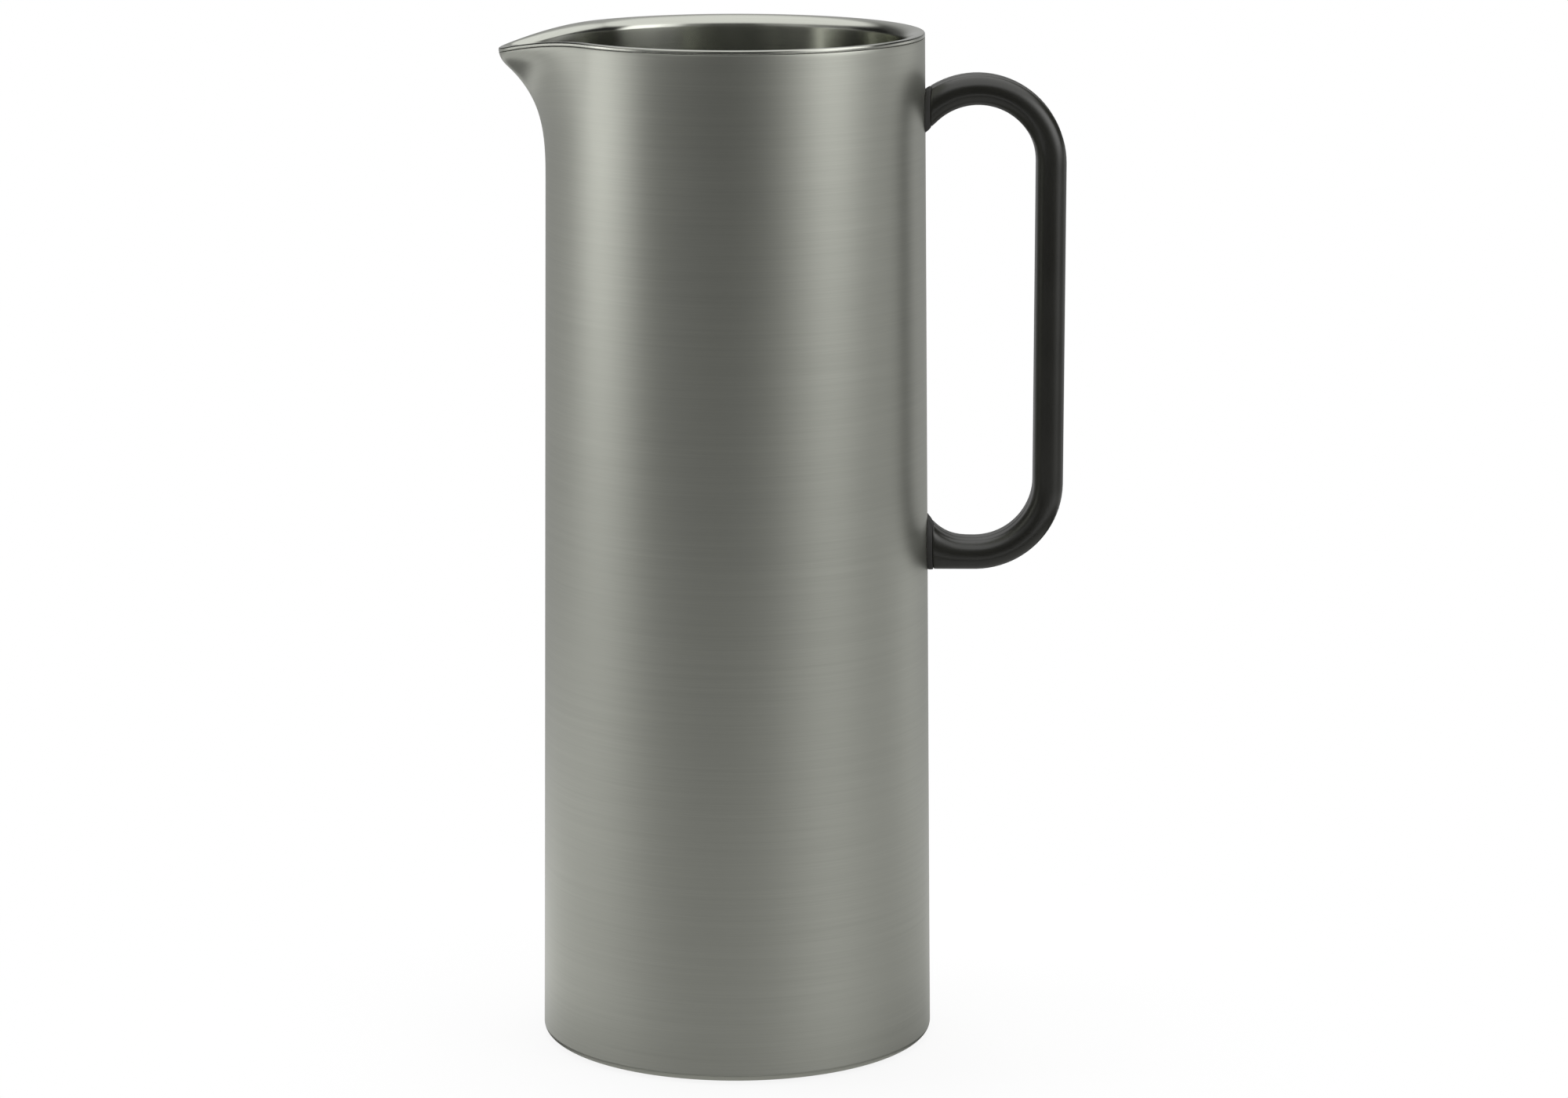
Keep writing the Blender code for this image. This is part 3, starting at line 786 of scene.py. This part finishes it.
def pad_profile():
    """A flat disc with rounded edges and concentric ribs under it."""
    low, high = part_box("base_pad")
    radius = high.y
    profile = [(0, high.z)]
    profile += arc(radius - PAD_EDGE, high.z - PAD_EDGE, PAD_EDGE, QUARTER, 0, EDGE_STEPS)
    profile += arc(radius - PAD_EDGE, low.z + PAD_EDGE, PAD_EDGE, 0, -QUARTER, EDGE_STEPS)
    pitch = radius / (PAD_RIBS + 1)
    for rib in range(PAD_RIBS):
        edge = radius - pitch * (rib + 0.5)
        groove = low.z + PAD_RIB_HEIGHT
        profile += [(edge, low.z), (edge - PAD_RIB_SLOPE, groove)]
        profile += [(edge - pitch / 2, groove), (edge - pitch / 2 - PAD_RIB_SLOPE, low.z)]
    return profile + [(0, low.z)]


def build_pad(finish):
    pad = new_object("ribbed_base_pad", turned_mesh("ribbed_base_pad", pad_profile(), False))
    return dress(pad, finish, "silicone", "base_pad")


# The insulation


def foam_skin(mesh):
    """Gives cast foam its slightly uneven faces."""
    for vertex in mesh.vertices:
        x, y, z = vertex.co
        angle = math.atan2(y, x)
        wave = math.prod(math.sin(around * angle + up * z) for around, up in FOAM_WAVES)
        grow = 1 + FOAM_WAVE * wave / BASE_RADIUS
        vertex.co = (x * grow, y * grow, z)


def foam_piece(name, profile, closed):
    mesh = turned_mesh(name, profile, closed, FOAM_STEPS)
    foam_skin(mesh)
    return new_object(name, mesh)


def sleeve_profile():
    """A tube between the two walls, with rounded ends."""
    low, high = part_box("insulation_sleeve")
    bottom = low.z + FOAM_EDGE
    top = high.z - FOAM_EDGE
    outer = SHEET + FIT
    inner = SHEET + WALL_SPACE - FIT
    wall_low = body_radius(low.z)
    wall_high = body_radius(high.z)
    heights = spaced(top, bottom, FOAM_ROWS)
    profile = [at_depth(outer, z) for z in heights]
    profile += arc(wall_low - outer - FOAM_EDGE, bottom, FOAM_EDGE, 0, -QUARTER, EDGE_STEPS)[1:]
    profile += arc(wall_low - inner + FOAM_EDGE, bottom, FOAM_EDGE, -QUARTER, -2 * QUARTER, EDGE_STEPS)
    profile += [at_depth(inner, z) for z in heights[-2::-1]]
    profile += arc(wall_high - inner + FOAM_EDGE, top, FOAM_EDGE, 2 * QUARTER, QUARTER, EDGE_STEPS)[1:]
    profile += arc(wall_high - outer - FOAM_EDGE, top, FOAM_EDGE, QUARTER, 0, EDGE_STEPS)[:-1]
    return profile


def build_sleeve(finish):
    """The foam tube, with a pocket for the lower fixing."""
    sleeve = foam_piece("foam_sleeve", sleeve_profile(), True)
    start = body_radius(LOWER_ARM_Z) - 2 * RIM_WIDTH
    end = body_radius(LOWER_ARM_Z) + RIM_WIDTH
    carve(sleeve, [rod_cutter("foam_pocket", FOAM_POCKET_RADIUS, start, end, LOWER_ARM_Z)])
    return dress(sleeve, finish, "foam", "insulation_sleeve")


def disc_profile():
    """A flat disc with rounded edges."""
    low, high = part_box("insulation_disc")
    edge = high.y - FOAM_EDGE
    profile = [(radius, high.z) for radius in spaced(0, edge, CORNER_STEPS)]
    profile += arc(edge, high.z - FOAM_EDGE, FOAM_EDGE, QUARTER, 0, EDGE_STEPS)[1:]
    profile += arc(edge, low.z + FOAM_EDGE, FOAM_EDGE, 0, -QUARTER, EDGE_STEPS)
    profile += [(radius, low.z) for radius in spaced(edge, 0, CORNER_STEPS)[1:]]
    return profile


def build_disc(finish):
    disc = foam_piece("foam_disc", disc_profile(), False)
    return dress(disc, finish, "foam", "insulation_disc")


# The handle


def handle_frame(s):
    """Centre and normal of the handle's section at a distance along its centre line.

    The distance is zero where the upper bend begins; before that, the line runs straight into the wall.
    """
    shift = 0
    lower = s - UPPER_ARC - BAR_LENGTH
    if s < UPPER_ARC:
        angle = UPPER_TURN - max(s, 0) / HANDLE_BEND
        bend_z = HANDLE_TOP - HANDLE_BEND
        shift = min(s, 0)
    elif lower < 0:
        angle = 0
        bend_z = HANDLE_TOP - HANDLE_BEND - (s - UPPER_ARC)
    else:
        angle = -min(lower, LOWER_ARC) / HANDLE_BEND
        bend_z = LOWER_ARM_Z + HANDLE_BEND
        shift = max(lower - LOWER_ARC, 0)
    normal = (math.cos(angle), math.sin(angle))
    x = BEND_X + HANDLE_BEND * normal[0] + shift * normal[1]
    z = bend_z + HANDLE_BEND * normal[1] - shift * normal[0]
    return (x, z), normal


def handle_point(s, across, out):
    """A point of the handle: a distance along it, one across it and one out from its middle.

    The lower arm grows taller towards its foot.
    """
    (x, z), normal = handle_frame(s)
    x += out * normal[0]
    z += out * normal[1]
    if s > LOWER_ARM_START:
        share = min((BEND_X - x) / (BEND_X - body_radius(LOWER_ARM_Z)), 1)
        under = LOWER_ARM_Z - HANDLE_THICKNESS / 2
        z += FOOT_RISE * share**FOOT_RISE_POWER * (z - under) / HANDLE_THICKNESS
    return (x, across, z)


def handle_outline(inset):
    """The bar's flat-oval section as (across, out), drawn in by an inset, with its mould lines."""
    radius = HANDLE_EDGE - inset
    half_width = HANDLE_WIDTH / 2 - HANDLE_EDGE
    half_thickness = HANDLE_THICKNESS / 2 - HANDLE_EDGE
    face = half_thickness + radius
    mould_line = [
        (half_width / 2, 0),
        (MOULD_LINE_HALF, 0),
        (0, MOULD_LINE_HEIGHT),
        (-MOULD_LINE_HALF, 0),
        (-half_width / 2, 0),
    ]
    outline = arc(half_width, half_thickness, radius, 0, QUARTER, CORNER_STEPS)
    outline += [(across, face + rise) for across, rise in mould_line]
    outline += arc(-half_width, half_thickness, radius, QUARTER, 2 * QUARTER, CORNER_STEPS)
    outline += arc(-half_width, -half_thickness, radius, 2 * QUARTER, 3 * QUARTER, CORNER_STEPS)
    outline += [(-across, -face - rise) for across, rise in mould_line]
    outline += arc(half_width, -half_thickness, radius, 3 * QUARTER, 4 * QUARTER, CORNER_STEPS)
    return outline


def meets_wall(side, across, out, standoff):
    """The distance along the handle at which one of its lines is a standoff away from the shell."""
    inside, outside = HANDLE_ENDS[side]
    for _ in range(WALL_HALVINGS):
        middle = (inside + outside) / 2
        x, y, z = handle_point(middle, across, out)
        if math.hypot(x, y) < body_radius(z) + standoff:
            inside = middle
        else:
            outside = middle
    return (inside + outside) / 2


def foot_distances(side, inset, standoff):
    """For each point of the section, how far along the handle it meets the face of a foot."""
    return [meets_wall(side, across, out, standoff) for across, out in handle_outline(inset)]


def section_ring(distances, outline):
    """The section's outline, with each point at its own distance along the handle."""
    return [handle_point(s, *point) for s, point in zip(distances, outline)]


def foot_ring(side, inset, standoff):
    """The section's outline on a face that follows the shell, a standoff away from it."""
    return section_ring(foot_distances(side, inset, standoff), handle_outline(inset))


def foot_centre(side, standoff):
    """The point where an arm's centre line is a standoff away from the shell."""
    return handle_point(meets_wall(side, 0, 0, standoff), 0, 0)


def foot_face(side, standoff):
    """Rings from a foot's middle out over its face and round its eased edge."""
    rings = [[foot_centre(side, standoff)]]
    rings += [foot_ring(side, inset, standoff) for inset in FOOT_FACE_INSETS]
    for angle in spaced(0, QUARTER, EDGE_STEPS):
        inset = FOOT_EDGE * (1 - math.sin(angle))
        rings.append(foot_ring(side, inset, standoff + FOOT_EDGE * (1 - math.cos(angle))))
    return rings


def handle_rings():
    """All rings of the handle, from the middle of its upper foot to the middle of its lower foot."""
    outline = handle_outline(0)
    starts = foot_distances("upper", 0, FOOT_STANDOFF + FOOT_EDGE)
    ends = foot_distances("lower", 0, FOOT_STANDOFF + FOOT_EDGE)
    first = max(starts) + BAR_STEP
    last = min(ends) - BAR_STEP
    rings = foot_face("upper", FOOT_STANDOFF)
    for share in spaced(0, 1, FOOT_STEPS)[1:]:
        rings.append(section_ring([s + (first - s) * share for s in starts], outline))
    for s in spaced(first, last, round((last - first) / BAR_STEP))[1:]:
        rings.append([handle_point(s, *point) for point in outline])
    for share in spaced(0, 1, FOOT_STEPS)[1:-1]:
        rings.append(section_ring([last + (s - last) * share for s in ends], outline))
    return rings + foot_face("lower", FOOT_STANDOFF)[::-1]


def foot_heights():
    """The height of each foot's screw: where the arm's centre line passes the middle of its insert."""
    upper = foot_centre("upper", FOOT_STANDOFF + INSERT_LENGTH / 2)
    return {"upper": upper[2], "lower": LOWER_ARM_Z}


def build_handle(finish):
    handle = new_object("moulded_handle", ringed_mesh("moulded_handle", handle_rings()))
    seats = []
    for side, z in foot_heights().items():
        foot = body_radius(z) + FOOT_STANDOFF
        end = foot + INSERT_LENGTH + FIT
        seats.append(rod_cutter(f"seat_{side}", INSERT_RADIUS + FIT, foot - FIT, end, z))
    carve(handle, seats)
    return dress(handle, finish, "nylon_black", "handle")


def build_gasket(side, z, finish):
    """A gasket that a foot squeezes against the shell, so its edge bulges a little."""
    rings = [[foot_centre(side, TOUCH)], foot_ring(side, HANDLE_EDGE / 2, TOUCH)]
    for angle in spaced(-QUARTER, QUARTER, 2 * EDGE_STEPS):
        standoff = FOOT_STANDOFF / 2 + (FOOT_STANDOFF / 2 - TOUCH) * math.sin(angle)
        rings.append(foot_ring(side, -GASKET_BULGE * math.cos(angle), standoff))
    top = FOOT_STANDOFF - TOUCH
    rings += [foot_ring(side, HANDLE_EDGE / 2, top), [foot_centre(side, top)]]
    gasket = new_object(f"{side}_gasket", ringed_mesh(f"{side}_gasket", rings))
    start = body_radius(z) - SHEET
    end = body_radius(z) + 2 * FOOT_STANDOFF
    carve(gasket, [rod_cutter(f"gasket_hole_{side}", INSERT_BORE, start, end, z)])
    return dress(gasket, finish, "silicone", f"handle_gasket_{side}")


# The fixings


def laid_along_x(mesh, start, z):
    """Turns a piece that was made along Z to lie along X, from a distance from the jug's axis."""
    for vertex in mesh.vertices:
        x, y, along = vertex.co
        vertex.co = (start + along, y, z - x)
    return mesh


def thread_radius(turn, z, reach):
    """The radius of a screw's thread at a share of a turn and a height, tapered at its tip."""
    depth = THREAD_DEPTH * min(1, z / SCREW_PITCH)
    taper = max(0, SCREW_TIP - (reach - z))
    phase = (z / SCREW_PITCH - turn) % 1
    return SCREW_RADIUS - taper - depth * abs(2 * phase - 1)


def screw_rings(reach):
    """A socket screw along Z: its head's underside at zero, its thread cut down to the tip."""
    round_x = SCREW_HEAD_RADIUS - SCREW_HEAD_ROUND
    round_z = SCREW_HEAD_ROUND - SCREW_HEAD_HEIGHT
    profile = [(0, -SCREW_HEAD_HEIGHT)]
    profile += arc(round_x, round_z, SCREW_HEAD_ROUND, -QUARTER, 0, EDGE_STEPS)
    profile += [(SCREW_HEAD_RADIUS, -SCREW_HEAD_BEVEL), (SCREW_HEAD_RADIUS - SCREW_HEAD_BEVEL, 0)]
    rings = [turned_ring(radius, z, SMALL_STEPS) for radius, z in profile]
    turns = [i / SMALL_STEPS for i in range(SMALL_STEPS)]
    for z in spaced(0, reach, round(reach / SCREW_PITCH) * THREAD_ROWS):
        rings.append([ring_point(thread_radius(turn, z, reach), TURN * turn, z) for turn in turns])
    return rings + [[(0, 0, reach)]]


def build_screw(side, z, finish):
    head = body_radius(z) - SCREW_HEAD_DEPTH
    reach = SCREW_HEAD_DEPTH + FOOT_STANDOFF + INSERT_LENGTH - INSERT_WALL - FIT
    mesh = laid_along_x(ringed_mesh(f"{side}_screw", screw_rings(reach)), head, z)
    screw = new_object(f"{side}_screw", mesh)
    start = head - SCREW_HEAD_HEIGHT - SOCKET_DEPTH
    end = head - SCREW_HEAD_HEIGHT + SOCKET_DEPTH
    carve(screw, [rod_cutter(f"socket_{side}", SOCKET_RADIUS, start, end, z, SOCKET_SIDES)])
    return dress(screw, finish, "steel_plain", f"handle_screw_{side}")


def knurl_radius(angle, z):
    """The insert's outside radius, with two crossing sets of grooves between its plain ends."""
    if not 0 < z < INSERT_LENGTH:
        return INSERT_RADIUS - KNURL_DEPTH
    twist = z / INSERT_RADIUS
    rising = abs(math.sin(KNURL_COUNT * (angle + twist) / 2))
    falling = abs(math.sin(KNURL_COUNT * (angle - twist) / 2))
    return INSERT_RADIUS - KNURL_DEPTH * (1 - rising * falling)


def insert_rings():
    """A knurled insert along Z, closed at its far end and open where the screw enters."""
    bore_end = INSERT_LENGTH - INSERT_WALL
    steps = KNURL_STEPS * KNURL_COUNT
    bore = [(0, bore_end), (INSERT_BORE, bore_end), (INSERT_BORE, 0)]
    rings = [turned_ring(radius, z, steps) for radius, z in bore]
    angles = [TURN * i / steps for i in range(steps)]
    for z in spaced(0, INSERT_LENGTH, INSERT_ROWS):
        rings.append([ring_point(knurl_radius(angle, z), angle, z) for angle in angles])
    return rings + [[(0, 0, INSERT_LENGTH)]]


def build_insert(side, z, finish):
    foot = body_radius(z) + FOOT_STANDOFF
    mesh = laid_along_x(ringed_mesh(f"{side}_insert", insert_rings()), foot, z)
    return dress(new_object(f"{side}_insert", mesh), finish, "brass", f"handle_insert_{side}")


# The studio


def aim(obj, target):
    obj.rotation_euler = (Vector(target) - obj.location).to_track_quat("-Z", "Y").to_euler()


def add_camera():
    data = bpy.data.cameras.new("camera")
    data.sensor_fit = "HORIZONTAL"
    data.sensor_width = CAMERA_SENSOR
    data.lens = CAMERA_LENS
    camera = new_object("camera", data)
    camera.location = CAMERA_PLACE
    camera.rotation_euler = (CAMERA_TILT, 0, 0)
    bpy.context.scene.camera = camera


def add_lamp(name, place, width, height, power):
    """A soft area lamp on the jug's middle. Metal shows the studio's wall instead of it."""
    data = bpy.data.lights.new(name, "AREA")
    data.shape = "RECTANGLE"
    data.size = width
    data.size_y = height
    data.energy = power
    lamp = new_object(name, data)
    lamp.location = place
    aim(lamp, (0, 0, BODY_HEIGHT / 2))
    lamp.visible_glossy = False


def add_background(tree, strength):
    """White light of one strength, for the world."""
    node = tree.nodes.new("ShaderNodeBackground")
    node.inputs["Color"].default_value = WHITE
    node.inputs["Strength"].default_value = strength
    return node.outputs["Background"]


def add_world():
    """White behind the object and in its reflections, and an even grey light on it."""
    world = bpy.data.worlds.new("studio")
    bpy.context.scene.world = world
    world.cycles.sampling_method = "NONE"
    world.use_nodes = True
    tree = world.node_tree
    tree.nodes.clear()
    path = tree.nodes.new("ShaderNodeLightPath")
    seen = path.outputs["Is Camera Ray"]
    for name in ("Is Glossy Ray", "Is Transmission Ray"):
        either = tree.nodes.new("ShaderNodeMath")
        either.operation = "MAXIMUM"
        tree.links.new(seen, either.inputs[0])
        tree.links.new(path.outputs[name], either.inputs[1])
        seen = either.outputs[0]
    mix = tree.nodes.new("ShaderNodeMixShader")
    tree.links.new(seen, mix.inputs[0])
    tree.links.new(add_background(tree, WORLD_LIGHT), mix.inputs[1])
    tree.links.new(add_background(tree, 1), mix.inputs[2])
    out = tree.nodes.new("ShaderNodeOutputWorld")
    tree.links.new(mix.outputs[0], out.inputs["Surface"])


def whiten(finish):
    """Mixes plain white into what the camera sees of a surface, so that a shadow on it stays soft."""
    tree = finish.tree
    white = finish.add("ShaderNodeEmission", Color=WHITE, Strength=1.0)
    seen = finish.add("ShaderNodeLightPath").outputs["Is Camera Ray"]
    mix = finish.add("ShaderNodeMixShader", Fac=finish.math("MULTIPLY", seen, FLOOR_WHITE))
    tree.links.new(finish.shader.outputs["BSDF"], mix.inputs[1])
    tree.links.new(white.outputs["Emission"], mix.inputs[2])
    tree.links.new(mix.outputs["Shader"], tree.nodes["Material Output"].inputs["Surface"])


def add_floor():
    """A pale round table top whose edge fades into the white behind it."""
    profile = [(radius, 0) for radius in spaced(0, FLOOR_RADIUS, FLOOR_RINGS)]
    floor = new_object("floor", turned_mesh("floor", profile, False, STUDIO_STEPS))
    finish = Finish("pale_floor")
    finish.tint(finish.noise(FLOOR_CLOUD, detail=3), FLOOR_DARK, FLOOR_LIGHT)
    finish.set(Roughness=FLOOR_ROUGHNESS, Specular_IOR_Level=0.0)
    finish.set(Alpha=finish.ease(finish.length(finish.place()), FLOOR_RADIUS, FLOOR_FADE_START))
    whiten(finish)
    floor.data.materials.append(finish.material)
    floor.visible_glossy = False


def tone_ramp(finish, turn, tones):
    """The studio wall's tones in one band, by a share of a turn."""
    ramp = finish.add("ShaderNodeValToRGB", Fac=turn)
    ramp.color_ramp.interpolation = "EASE"
    stops = ramp.color_ramp.elements
    while len(stops) < len(tones):
        stops.new(0.5)
    for stop, (degrees, tone) in zip(stops, tones):
        stop.position = (degrees + 180) / 360
        stop.color = (tone, tone, tone, 1)
    return ramp.outputs["Color"]


def wall_finish():
    """The studio wall's glow: light and dark stretches by azimuth, in bands that run together."""
    finish = Finish("studio_wall")
    finish.tree.nodes.remove(finish.shader)
    glow = finish.add("ShaderNodeEmission")
    out = finish.tree.nodes["Material Output"]
    finish.feed(out.inputs["Surface"], glow.outputs["Emission"])
    parts = finish.add("ShaderNodeSeparateXYZ", Vector=finish.place()).outputs
    azimuth = finish.math("ARCTAN2", parts["X"], finish.math("MULTIPLY", parts["Y"], -1))
    turn = finish.math("MULTIPLY_ADD", azimuth, 1 / TURN, 0.5)
    levels = [[(row[0], row[column]) for row in WALL_TONES] for column in (1, 2, 3)]
    top, middle, foot = [tone_ramp(finish, turn, level) for level in levels]
    bands = [
        (MIDDLE_BAND, middle),
        (TOP_BAND, top),
        (SHADE_BAND, SHADE_TONE),
        (GROUND_BAND, GROUND_TONE),
        (RAISED_BAND, tone_ramp(finish, turn, RAISED_TONES)),
        (OVERHEAD_BAND, OVERHEAD_TONE),
    ]
    tone = foot
    for (start, full), band_tone in bands:
        tone = finish.blend(finish.ease(parts["Z"], start, full), tone, band_tone)
    finish.feed(glow.inputs["Color"], tone)
    finish.material.cycles.emission_sampling = "NONE"
    return finish.material


def add_wall():
    """The studio round the jug, a wall with a domed top and a closed foot. Only reflections show it."""
    profile = [(0, WALL_LOW)]
    profile += [(WALL_RADIUS, z) for z in spaced(WALL_LOW, WALL_HIGH, STUDIO_ROWS)[:-1]]
    profile += arc(0, WALL_HIGH, WALL_RADIUS, 0, QUARTER, DOME_STEPS)[:-1]
    profile.append((0, WALL_HIGH + WALL_RADIUS))
    wall = new_object("studio_wall", turned_mesh("studio_wall", profile, False, STUDIO_STEPS))
    wall.data.materials.append(wall_finish())
    wall.visible_camera = False
    wall.visible_diffuse = False
    wall.visible_shadow = False
    wall.visible_transmission = False


# Everything together


def finish_nodes(finish):
    """A new finish for the CAD nodes that stay as they are."""
    for name in ("base_plate", "backing_plate_upper", "backing_plate_lower"):
        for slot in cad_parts[name].material_slots:
            slot.material = finish


def build():
    satin = turned_steel("satin_steel", **SATIN_STEEL)
    polished = turned_steel("polished_steel", **POLISHED_STEEL)
    nylon = moulded_nylon()
    silicone = soft_silicone()
    foam = rigid_foam()
    brass = plain_metal("turned_brass", **TURNED_BRASS)
    steel = plain_metal("rolled_steel", **ROLLED_STEEL)
    finish_nodes(steel)
    build_shell(satin)
    build_liner(polished)
    build_pad(silicone)
    build_sleeve(foam)
    build_disc(foam)
    build_handle(nylon)
    for side, z in foot_heights().items():
        build_gasket(side, z, silicone)
        build_screw(side, z, steel)
        build_insert(side, z, brass)


def light_studio():
    bpy.context.scene.view_settings.view_transform = "Standard"
    add_camera()
    add_world()
    add_floor()
    add_wall()
    for name, settings in LAMPS.items():
        add_lamp(name, *settings)


build()
light_studio()
